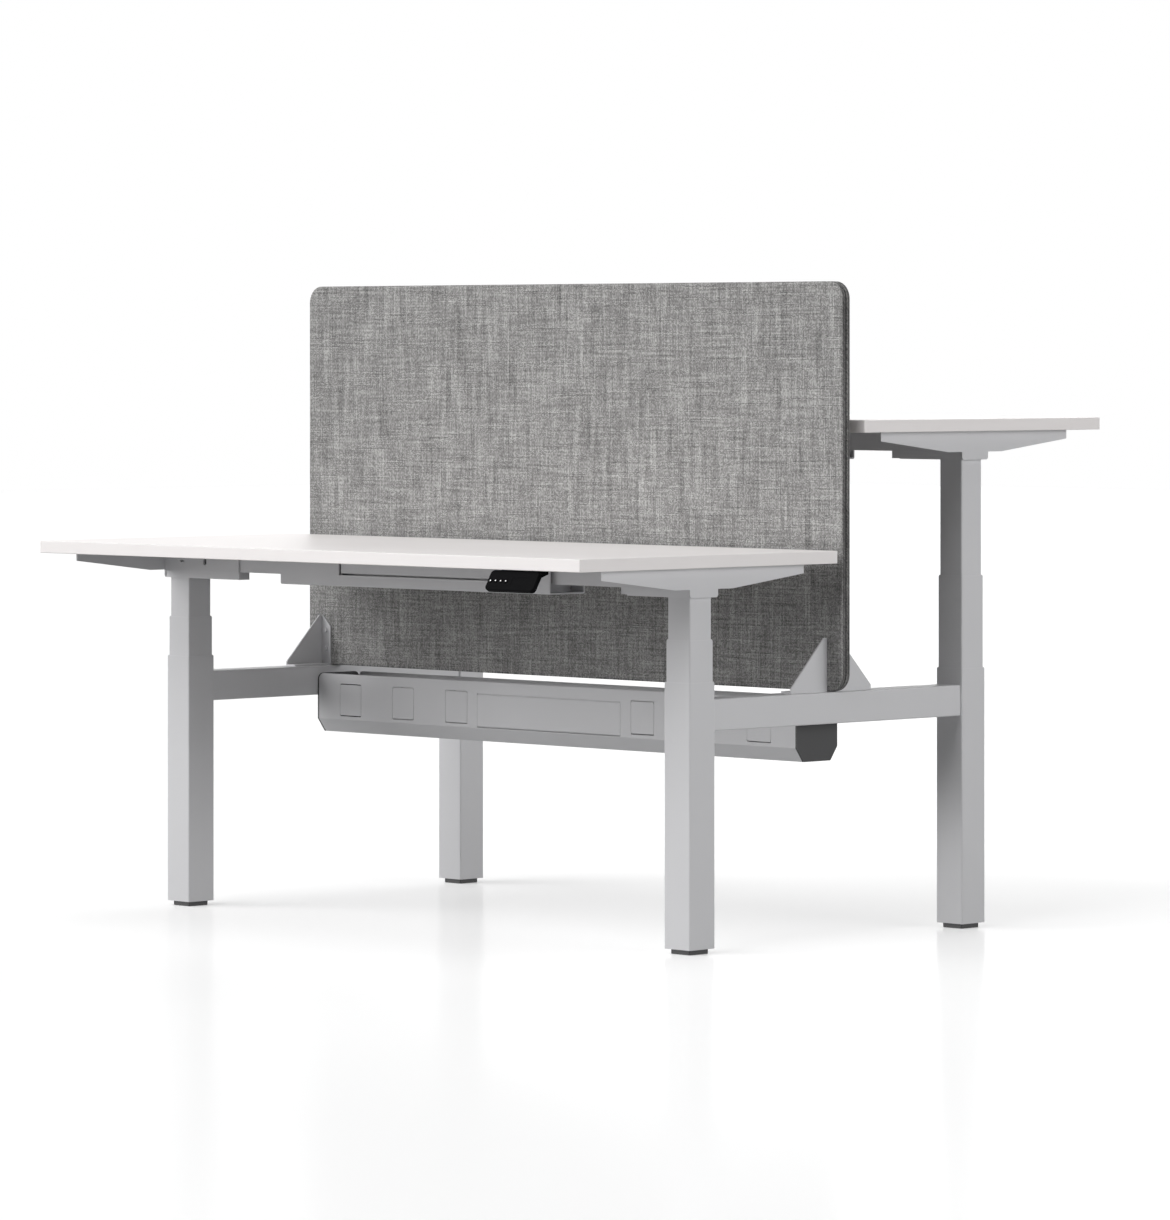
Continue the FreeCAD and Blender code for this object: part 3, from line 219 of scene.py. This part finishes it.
@dataclass(frozen=True)
class Weave(Finish):
    """Woven upholstery of melange yarn in two directions.

    Every crossing of two yarns has a tone of its own, and longer slubs run along the yarns as faint streaks.
    Bands are slubs shared by several upright yarns. The cloth is painted darker where it turns over a pad's
    edge: painted shade on the pad's rounded edges and sides.
    """

    dark: str
    middle: str
    light: str
    pitch_mm: float
    slub_mm: float
    band_mm: float
    slub_share: float
    # Share of the colour kept on the pads' edges and sides: painted shade.
    edge_shade_tone: float
    relief_mm: float
    crossing_softness: float = 0.2
    upright_share: float = 0.62
    band_share: float = 0.4
    slub_detail: float = 1.0
    row_shift: float = 1000.0
    dark_stop: float = 0.2
    middle_stop: float = 0.5
    light_stop: float = 0.8
    edge_facing: float = 0.2
    face_facing: float = 0.6
    relief: float = 0.4
    roughness: float = 0.95
    specular: float = 0.1
    sheen: float = 0.06
    sheen_roughness: float = 0.5

    def spread(self, tree: bpy.types.NodeTree) -> list[bpy.types.NodeSocket]:
        """Position on the cloth across and up, carried round the edges of a pad.

        Args:
            tree: Node tree of the material.

        Returns:
            Two value sockets in millimetres.
        """
        parts = add(tree, "ShaderNodeSeparateXYZ", sockets={"Vector": self.place(tree)}).outputs
        sums = ({0: parts[axis], 1: parts["Y"]} for axis in ("X", "Z"))
        return [add(tree, "ShaderNodeMath", {"operation": "ADD"}, both).outputs[0] for both in sums]

    def speckle(
        self, tree: bpy.types.NodeTree, places: list[bpy.types.NodeSocket], weft: bool
    ) -> bpy.types.NodeSocket:
        """Tone of each stretch of yarn between two crossings.

        Args:
            tree: Node tree of the material.
            places: Position across and up the cloth.
            weft: Whether the yarns lie across.

        Returns:
            A value socket from nought to one.
        """
        length_mm = 2.0 * self.pitch_mm
        steps = (length_mm, self.pitch_mm) if weft else (self.pitch_mm, length_mm)
        cells = []
        for place, step in zip(places, steps):
            snapped = {0: place, 1: step}
            cells.append(add(tree, "ShaderNodeMath", {"operation": "SNAP"}, snapped).outputs[0])
        corner = {"X": cells[0], "Y": cells[1], "Z": float(weft)}
        cell = add(tree, "ShaderNodeCombineXYZ", sockets=corner).outputs["Vector"]
        return add(tree, "ShaderNodeTexWhiteNoise", sockets={"Vector": cell}).outputs["Value"]

    def slub(
        self, tree: bpy.types.NodeTree, places: list[bpy.types.NodeSocket], weft: bool, width_mm: float
    ) -> bpy.types.NodeSocket:
        """Thick and thin places along rows of yarn, each row on its own.

        Args:
            tree: Node tree of the material.
            places: Position across and up the cloth.
            weft: Whether the yarns lie across.
            width_mm: Width of one row.

        Returns:
            A value socket around one half.
        """
        along, across = places if weft else places[::-1]
        row = add(tree, "ShaderNodeMath", {"operation": "SNAP"}, {0: across, 1: width_mm}).outputs[0]
        own = add(tree, "ShaderNodeTexWhiteNoise", {"noise_dimensions": "1D"}, {"W": row}).outputs["Value"]
        slide = {0: own, 1: self.row_shift * self.slub_mm, 2: along}
        shifted = add(tree, "ShaderNodeMath", {"operation": "MULTIPLY_ADD"}, slide).outputs[0]
        drawn = {"W": shifted, "Scale": 1.0 / self.slub_mm, "Detail": self.slub_detail}
        return add(tree, "ShaderNodeTexNoise", {"noise_dimensions": "1D"}, drawn).outputs[0]

    def surface(self, tree: bpy.types.NodeTree) -> bpy.types.NodeSocket:
        """Cloth surface of crossed yarns with a soft sheen.

        Args:
            tree: Node tree of the material.

        Returns:
            The shader socket.
        """
        places = self.spread(tree)
        waves = []
        for place in places:
            turned = {0: place, 1: math.pi / self.pitch_mm}
            angle = add(tree, "ShaderNodeMath", {"operation": "MULTIPLY"}, turned).outputs[0]
            waves.append(add(tree, "ShaderNodeMath", {"operation": "SINE"}, {0: angle}).outputs[0])
        both = {0: waves[0], 1: waves[1]}
        crossing = add(tree, "ShaderNodeMath", {"operation": "MULTIPLY"}, both).outputs[0]
        soft = {"Value": crossing, "From Min": -self.crossing_softness, "From Max": self.crossing_softness}
        smooth = {"interpolation_type": "SMOOTHSTEP"}
        over = add(tree, "ShaderNodeMapRange", smooth, soft).outputs["Result"]
        across, upright = (self.speckle(tree, places, weft) for weft in (True, False))
        yarns = {SHARE: over, VALUE_A: across, VALUE_B: upright}
        woven = add(tree, "ShaderNodeMix", sockets=yarns).outputs[0]
        weft = self.slub(tree, places, True, self.pitch_mm)
        warp = self.slub(tree, places, False, self.pitch_mm)
        bands = self.slub(tree, places, False, self.band_mm)
        upright_slubs = {SHARE: self.band_share, VALUE_A: warp, VALUE_B: bands}
        streaks = add(tree, "ShaderNodeMix", sockets=upright_slubs).outputs[0]
        all_slubs = {SHARE: self.upright_share, VALUE_A: weft, VALUE_B: streaks}
        slubs = add(tree, "ShaderNodeMix", sockets=all_slubs).outputs[0]
        melange = {SHARE: self.slub_share, VALUE_A: woven, VALUE_B: slubs}
        mixed = add(tree, "ShaderNodeMix", sockets=melange).outputs[0]
        ramp = add(tree, "ShaderNodeValToRGB", sockets={"Fac": mixed})
        stops = ramp.color_ramp.elements
        stops[0].position = self.dark_stop
        stops[0].color = linear(self.dark)
        stops[1].position = self.light_stop
        stops[1].color = linear(self.light)
        middle = stops.new(self.middle_stop)
        middle.color = linear(self.middle)
        normal = add(tree, "ShaderNodeNewGeometry").outputs["Normal"]
        outward = add(tree, "ShaderNodeSeparateXYZ", sockets={"Vector": normal}).outputs["Y"]
        facing = add(tree, "ShaderNodeMath", {"operation": "ABSOLUTE"}, {0: outward}).outputs[0]
        # Painted shade: the colour is darkened where the cloth turns away from the screen's faces, on the
        # pads' edges and sides.
        edge_shade_range = {
            "Value": facing,
            "From Min": self.edge_facing,
            "From Max": self.face_facing,
            "To Min": self.edge_shade_tone,
        }
        painted_edge_shade = add(tree, "ShaderNodeMapRange", sockets=edge_shade_range).outputs["Result"]
        shaded = {0: ramp.outputs["Color"], "Scale": painted_edge_shade}
        colour = add(tree, "ShaderNodeVectorMath", {"operation": "SCALE"}, shaded).outputs[0]
        hills = []
        for wave in waves:
            hills.append(add(tree, "ShaderNodeMath", {"operation": "ABSOLUTE"}, {0: wave}).outputs[0])
        heights = {SHARE: over, VALUE_A: hills[1], VALUE_B: hills[0]}
        height = add(tree, "ShaderNodeMix", sockets=heights).outputs[0]
        relief = {"Height": height, "Distance": self.relief_mm * MM, "Strength": self.relief}
        bump = add(tree, "ShaderNodeBump", sockets=relief).outputs["Normal"]
        sockets = {
            "Base Color": colour,
            "Roughness": self.roughness,
            "Normal": bump,
            "Specular IOR Level": self.specular,
            "Sheen Weight": self.sheen,
            "Sheen Roughness": self.sheen_roughness,
        }
        return add(tree, "ShaderNodeBsdfPrincipled", sockets=sockets).outputs["BSDF"]


@dataclass(frozen=True)
class StudioFloor(Finish):
    """Pale polished floor that reads white to the camera.

    It still takes a soft shadow and a faint reflection, and throws less light up than its white suggests.
    """

    colour: str
    seen_colour: str
    glow: float
    polish: float
    roughness: float

    def surface(self, tree: bpy.types.NodeTree) -> bpy.types.NodeSocket:
        """Matt floor with a glow that the camera and reflections see.

        Args:
            tree: Node tree of the material.

        Returns:
            The shader socket.
        """
        seen = looked_at(tree)
        shades = {SHARE: seen, COLOUR_A: linear(self.colour), COLOUR_B: linear(self.seen_colour)}
        tone = add(tree, "ShaderNodeMix", {"data_type": "RGBA"}, shades).outputs[MIXED_COLOUR]
        glow = add(tree, "ShaderNodeMath", {"operation": "MULTIPLY"}, {0: seen, 1: self.glow}).outputs[0]
        matt = add(tree, "ShaderNodeBsdfDiffuse", sockets={"Color": tone}).outputs["BSDF"]
        light = add(tree, "ShaderNodeEmission", sockets={"Strength": glow}).outputs["Emission"]
        base = add(tree, "ShaderNodeAddShader", sockets={0: matt, 1: light}).outputs["Shader"]
        gloss = add(tree, "ShaderNodeBsdfGlossy", sockets={"Roughness": self.roughness}).outputs["BSDF"]
        polished = {0: self.polish, 1: base, 2: gloss}
        return add(tree, "ShaderNodeMixShader", sockets=polished).outputs["Shader"]


@dataclass
class Palette:
    """Every material of the bench, built once and shared."""

    powder: bpy.types.Material = field(init=False)
    laminate: bpy.types.Material = field(init=False)
    cloth: bpy.types.Material = field(init=False)
    board: bpy.types.Material = field(init=False)
    black: bpy.types.Material = field(init=False)
    silver_moulding: bpy.types.Material = field(init=False)
    dark_moulding: bpy.types.Material = field(init=False)
    handset: bpy.types.Material = field(init=False)
    print_white: bpy.types.Material = field(init=False)
    zinc: bpy.types.Material = field(init=False)
    motor: bpy.types.Material = field(init=False)

    def __post_init__(self) -> None:
        """Build the materials."""
        # Silver-grey powder coat: matt, with a fine orange peel that softens every highlight.
        self.powder = Coating(
            "silver_powder_coat", colour="d4d4d6", shade="cfcfd1",
            roughness=0.5, grain_mm=0.6, grain_height_mm=0.02, specular=0.15,
        ).build()
        # White melamine laminate: smooth and faintly warm white, with a satin sheen.
        self.laminate = Coating(
            "white_melamine_laminate", colour="ece8e7", shade="e9e5e4",
            roughness=0.4, grain_mm=0.8, grain_height_mm=0.008,
        ).build()
        # Heather-grey woven cloth stretched over foam: soft, streaked and without shine, with painted shade
        # on the pads' edges and sides.
        # The yarns are drawn about twice as wide as real ones, so that the weave shows.
        self.cloth = Weave(
            "heather_grey_cloth", dark="4a4a4a", middle="8f8e8d", light="d0d0ce",
            pitch_mm=2.2, slub_mm=170.0, band_mm=16.0, slub_share=0.74, edge_shade_tone=0.42, relief_mm=0.3,
        ).build()
        # Dark fibre board: its dull edge shows as the groove between the pads.
        self.board = Coating(
            "dark_fibre_board", colour="2a2a2a", shade="222222",
            roughness=0.8, grain_mm=0.8, grain_height_mm=0.05,
        ).build()
        # Black moulded nylon of the feet: dull, with a fine moulded grain.
        self.black = Coating(
            "black_moulded_nylon", colour="2c2c2d", shade="262627",
            roughness=0.5, grain_mm=0.5, grain_height_mm=0.03,
        ).build()
        # Silver-grey moulded plastic of the housings and collars: close in tone to the coat beside it.
        self.silver_moulding = Coating(
            "silver_moulded_plastic", colour="d6d6d8", shade="d2d2d4",
            roughness=0.5, grain_mm=0.5, grain_height_mm=0.02, specular=0.2,
        ).build()
        # Charcoal moulded plastic of the tray ends: flat and dark beside the silver coat.
        self.dark_moulding = Coating(
            "charcoal_moulded_plastic", colour="3e3e3f", shade="39393a",
            roughness=0.5, grain_mm=0.5, grain_height_mm=0.03, specular=0.3,
        ).build()
        # Black satin plastic of the handset: smooth and deep black, with hardly a reflection.
        self.handset = Coating(
            "black_satin_plastic", colour="141415", shade="111112",
            roughness=0.42, grain_mm=0.4, grain_height_mm=0.006, specular=0.006,
        ).build()
        # White pad print on the keys: flat and clear against the black.
        self.print_white = Coating(
            "white_pad_print", colour="ffffff", shade="f4f4f4",
            roughness=0.5, grain_mm=0.3, grain_height_mm=0.002,
        ).build()
        # Zinc-plated steel of the wood screws and lifting screws: grey metal with a soft shine.
        self.zinc = Coating(
            "zinc_plated_steel", colour="b9bbbd", shade="a8abae",
            roughness=0.3, grain_mm=0.5, grain_height_mm=0.01, metallic=1.0,
        ).build()
        # Dark painted steel of the motor cans: near black, with a low gloss.
        self.motor = Coating(
            "dark_painted_steel", colour="333436", shade="2c2d2f",
            roughness=0.4, grain_mm=0.6, grain_height_mm=0.02,
        ).build()


def dress(names: Iterable[str], material: bpy.types.Material) -> None:
    """Give nodes of the frame a material.

    Args:
        names: Node names.
        material: What to put in their slots.
    """
    for name in names:
        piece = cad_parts[name]
        if not piece.material_slots:
            piece.data.materials.append(material)
        for place in piece.material_slots:
            place.material = material
        LOG.info("dressed %s in %s", name, material.name)


def new_piece(
    name: str, points: list[Vector], faces: list[tuple[int, ...]], material: bpy.types.Material
) -> bpy.types.Object:
    """Make a mesh piece in the scene.

    Args:
        name: Piece name.
        points: Corner positions in metres.
        faces: Corner indices of each face.
        material: Finish of the piece.

    Returns:
        The new object.
    """
    mesh = bpy.data.meshes.new(name)
    mesh.from_pydata([tuple(point) for point in points], [], faces)
    mesh.materials.append(material)
    mesh.update()
    piece = bpy.data.objects.new(name, mesh)
    bpy.context.scene.collection.objects.link(piece)
    LOG.info("built %s", name)
    return piece


@dataclass
class SharedFrame:
    """Legs, beams, feet and the parts inside them that stand still."""

    palette: Palette
    coated: tuple[str, ...] = (
        "front_left_leg_tube", "front_right_leg_tube", "back_left_leg_tube", "back_right_leg_tube",
        "left_side_beam", "right_side_beam", "left_screen_bracket", "right_screen_bracket", "leg_base_plates",
    )

    def build(self) -> None:
        """Dress the fixed frame."""
        dress(self.coated, self.palette.powder)
        dress(("foot_pads",), self.palette.black)
        dress(("leg_guide_collars",), self.palette.silver_moulding)
        dress(("frame_bolts",), self.palette.powder)


@dataclass
class CableTray:
    """Folded trough with its doors, covers and end caps."""

    palette: Palette

    def build(self) -> None:
        """Dress the tray."""
        dress(("cable_tray", "tray_socket_covers", "tray_front_door", "tray_back_door"), self.palette.powder)
        dress(("tray_end_caps",), self.palette.dark_moulding)


@dataclass
class Screen:
    """Upholstered screen: a dark board with a cloth pad on each face."""

    palette: Palette
    corner_radius: float = 35 * MM
    edge_radius: float = 4 * MM
    back_edge_share: float = 0.3
    corner_steps: int = 12
    edge_steps: int = 5

    def rim(self, low: Vector, high: Vector, inset: float, y: float) -> list[Vector]:
        """Points round a rounded rectangle.

        Args:
            low: Lowest corner of the pad.
            high: Highest corner of the pad.
            inset: Distance inside the outline.
            y: Depth of the loop.

        Returns:
            Points in order round the loop.
        """
        radius = self.corner_radius
        centres = (
            (high.x - radius, high.z - radius), (low.x + radius, high.z - radius),
            (low.x + radius, low.z + radius), (high.x - radius, low.z + radius),
        )
        loop = []
        for quarter, (x, z) in enumerate(centres):
            for step in range(self.corner_steps + 1):
                angle = math.pi / 2 * (quarter + step / self.corner_steps)
                reach = radius - inset
                loop.append(Vector((x + reach * math.cos(angle), y, z + reach * math.sin(angle))))
        return loop

    def pad(self, side: Side) -> bpy.types.Object:
        """Build one cloth pad in place of its plain solid.

        Args:
            side: Which face of the screen.

        Returns:
            The pad.
        """
        node = f"screen_{side.name.lower()}_pad"
        low, high = (Vector(corner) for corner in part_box(node))
        outer = low.y if side is Side.FRONT else high.y
        inner = high.y if side is Side.FRONT else low.y
        inward = -side.value
        back_edge = self.edge_radius * self.back_edge_share
        profile = [(back_edge, inner), (0.0, inner - inward * back_edge)]
        for step in range(self.edge_steps + 1):
            angle = math.pi / 2 * step / self.edge_steps
            inset = self.edge_radius * (1.0 - math.cos(angle))
            profile.append((inset, outer + inward * self.edge_radius * (1.0 - math.sin(angle))))
        points: list[Vector] = []
        for inset, y in profile:
            points.extend(self.rim(low, high, inset, y))
        count = 4 * (self.corner_steps + 1)
        faces: list[tuple[int, ...]] = []
        for ring in range(len(profile) - 1):
            for step in range(count):
                after = (step + 1) % count
                first, second = ring * count, (ring + 1) * count
                quad = (first + step, first + after, second + after, second + step)
                faces.append(quad if side is Side.BACK else quad[::-1])
        back = tuple(range(count))
        front = tuple(range((len(profile) - 1) * count, len(profile) * count))
        faces.append(back[::-1] if side is Side.BACK else back)
        faces.append(front if side is Side.BACK else front[::-1])
        piece = new_piece(f"{node}_cloth", points, faces, self.palette.cloth)
        for polygon in piece.data.polygons:
            polygon.use_smooth = len(polygon.vertices) == 4
        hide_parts(node)
        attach(piece, "base_frame")
        return piece

    def build(self) -> None:
        """Dress the board and build both pads."""
        dress(("screen_core",), self.palette.board)
        for side in Side:
            self.pad(side)


@dataclass
class LiftingDesk:
    """One desktop with its under-frame, columns and handset."""

    palette: Palette
    desk: Desk
    dot_radius: float = 1.5 * MM
    dot_lift: float = 0.05 * MM
    dot_steps: int = 24
    face_angle: float = math.radians(60)
    key_count: int = 4

    def named(self, *names: str) -> list[str]:
        """Put the desk's prefix before node names."""
        return [f"{self.desk.value}_{name}" for name in names]

    def dot(self, index: int) -> bpy.types.Object:
        """Print a white dot on one key.

        Args:
            index: Number of the key, from one.

        Returns:
            The dot.
        """
        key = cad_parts[f"{self.desk.value}_handset_key_{index}"]
        facing = -1.0 if self.desk is Desk.FRONT else 1.0
        out = Vector((0.0, facing * math.sin(self.face_angle), math.cos(self.face_angle)))
        low, high = (Vector(corner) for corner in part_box(key.name))
        middle = (low + high) / 2
        top = max(vertex.co.dot(out) for vertex in key.data.vertices)
        centre = middle + out * (top - middle.dot(out) + self.dot_lift)
        right = Vector((1.0, 0.0, 0.0))
        up = out.cross(right)
        points = []
        for step in range(self.dot_steps):
            angle = 2 * math.pi * step / self.dot_steps
            points.append(centre + (right * math.cos(angle) + up * math.sin(angle)) * self.dot_radius)
        face = tuple(range(self.dot_steps))
        piece = new_piece(f"{self.desk.value}_key_dot_{index}", points, [face], self.palette.print_white)
        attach(piece, f"{self.desk.value}_key_{index}")
        return piece

    def build(self) -> None:
        """Dress the desk and print its keys."""
        dress(self.named("desktop"), self.palette.laminate)
        steelwork = self.named("side_arms", "end_rails", "middle_channel", "inner_tubes", "middle_tubes")
        dress(steelwork, self.palette.powder)
        dress(self.named("drive_housings", "control_unit", "middle_collars"), self.palette.silver_moulding)
        dress(self.named("drive_motors"), self.palette.motor)
        turning = [f"{side}_{kind}_screw" for side in ("left", "right") for kind in ("drive", "hollow")]
        dress(self.named("desk_screws", *turning), self.palette.zinc)
        numbers = range(1, self.key_count + 1)
        keys = [f"handset_key_{index}" for index in numbers]
        dress(self.named("handset_case", *keys), self.palette.handset)
        for index in numbers:
            self.dot(index)


@dataclass(frozen=True)
class Softbox:
    """A broad lamp far away, placed by its bearing from the bench.

    The turn is in degrees round from the front, positive to the right, and the height in degrees above
    the floor. The strength is in watts per square metre on a face square to the lamp, and the spread is
    the angle that the lamp fills, in degrees.
    """

    name: str
    turn: float
    height: float
    strength: float
    spread: float

    def hang(self) -> None:
        """Put the lamp in the scene."""
        turn, height = math.radians(self.turn), math.radians(self.height)
        level = math.cos(height)
        towards = Vector((math.sin(turn) * level, -math.cos(turn) * level, math.sin(height)))
        data = bpy.data.lights.new(self.name, "SUN")
        data.energy = self.strength
        data.angle = math.radians(self.spread)
        lamp = bpy.data.objects.new(self.name, data)
        lamp.rotation_euler = towards.to_track_quat("Z", "Y").to_euler()
        bpy.context.scene.collection.objects.link(lamp)
        LOG.info("hung %s", self.name)


@dataclass
class Studio:
    """Floor, white surround, lamps and camera."""

    floor_half: float = 30.0
    floor_finish: StudioFloor = StudioFloor(
        "pale_studio_floor", colour="808080", seen_colour="d8d8d8", glow=0.42, polish=0.14, roughness=0.16
    )
    surround_colour: str = "ffffff"
    surround_seen: float = 1.0
    ambient: float = 0.02
    camera_place: tuple[float, float, float] = (9.1222, -8.9256, 1.1729)
    camera_yaw: float = math.radians(45.471)
    camera_reach: float = 200.0
    sensor_mm: float = 36.0
    lens_mm: float = 182.15
    shift_down: float = 0.2144
    shift_right: float = 0.0003
    softboxes: tuple[Softbox, ...] = (
        # Low light from the front left, which reaches the legs and the tray under the desktops.
        Softbox("low_softbox", turn=-45, height=10, strength=1.22, spread=30),
        Softbox("front_softbox", turn=-20, height=22, strength=0.62, spread=30),
        # High light on the screen and the desktops.
        Softbox("left_softbox", turn=-75, height=35, strength=0.3, spread=30),
        Softbox("high_left_softbox", turn=-45, height=45, strength=0.6, spread=30),
        Softbox("high_right_softbox", turn=5, height=45, strength=0.82, spread=30),
        Softbox("top_softbox", turn=0, height=90, strength=0.75, spread=40),
        # Low light from the right on the faces that turn that way.
        Softbox("right_softbox", turn=95, height=8, strength=1.22, spread=30),
        Softbox("right_back_softbox", turn=120, height=10, strength=0.48, spread=30),
        # Light for the far side of the bench.
        Softbox("back_softbox", turn=198, height=18, strength=0.9, spread=60),
    )

    def floor(self) -> None:
        """Lay the floor."""
        half = self.floor_half
        corners = ((-half, -half), (half, -half), (half, half), (-half, half))
        points = [Vector((x, y, 0.0)) for x, y in corners]
        piece = new_piece("studio_floor", points, [(0, 1, 2, 3)], self.floor_finish.build())

    def surround(self) -> None:
        """Set a surround that is white to the camera and a dim even dome as a light."""
        world = bpy.data.worlds.new("white_surround")
        world.use_nodes = True
        tree = world.node_tree
        tree.nodes.clear()
        shades = {SHARE: looked_at(tree), VALUE_A: self.ambient, VALUE_B: self.surround_seen}
        strength = add(tree, "ShaderNodeMix", sockets=shades).outputs[0]
        sockets = {"Color": linear(self.surround_colour), "Strength": strength}
        sky = add(tree, "ShaderNodeBackground", sockets=sockets).outputs["Background"]
        add(tree, "ShaderNodeOutputWorld", sockets={"Surface": sky})
        bpy.context.scene.world = world

    def camera(self) -> None:
        """Set the camera at the photograph's place."""
        data = bpy.data.cameras.new("bench_camera")
        data.sensor_width = self.sensor_mm
        data.lens = self.lens_mm
        data.shift_x = self.shift_right
        data.shift_y = -self.shift_down
        data.clip_end = self.camera_reach
        camera = bpy.data.objects.new("bench_camera", data)
        camera.location = self.camera_place
        camera.rotation_euler = (math.pi / 2, 0.0, self.camera_yaw)
        bpy.context.scene.collection.objects.link(camera)
        bpy.context.scene.camera = camera

    def build(self) -> None:
        """Put up the whole studio."""
        self.floor()
        self.surround()
        for softbox in self.softboxes:
            softbox.hang()
        self.camera()
        bpy.context.scene.view_settings.view_transform = "Standard"


def main() -> None:
    """Build every sub-assembly, then the studio."""
    logging.basicConfig(level=logging.INFO, format="%(name)s: %(message)s")
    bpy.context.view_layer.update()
    palette = Palette()
    SharedFrame(palette).build()
    CableTray(palette).build()
    Screen(palette).build()
    for desk in Desk:
        LiftingDesk(palette, desk).build()
    Studio().build()


if __name__ == "__main__":
    main()
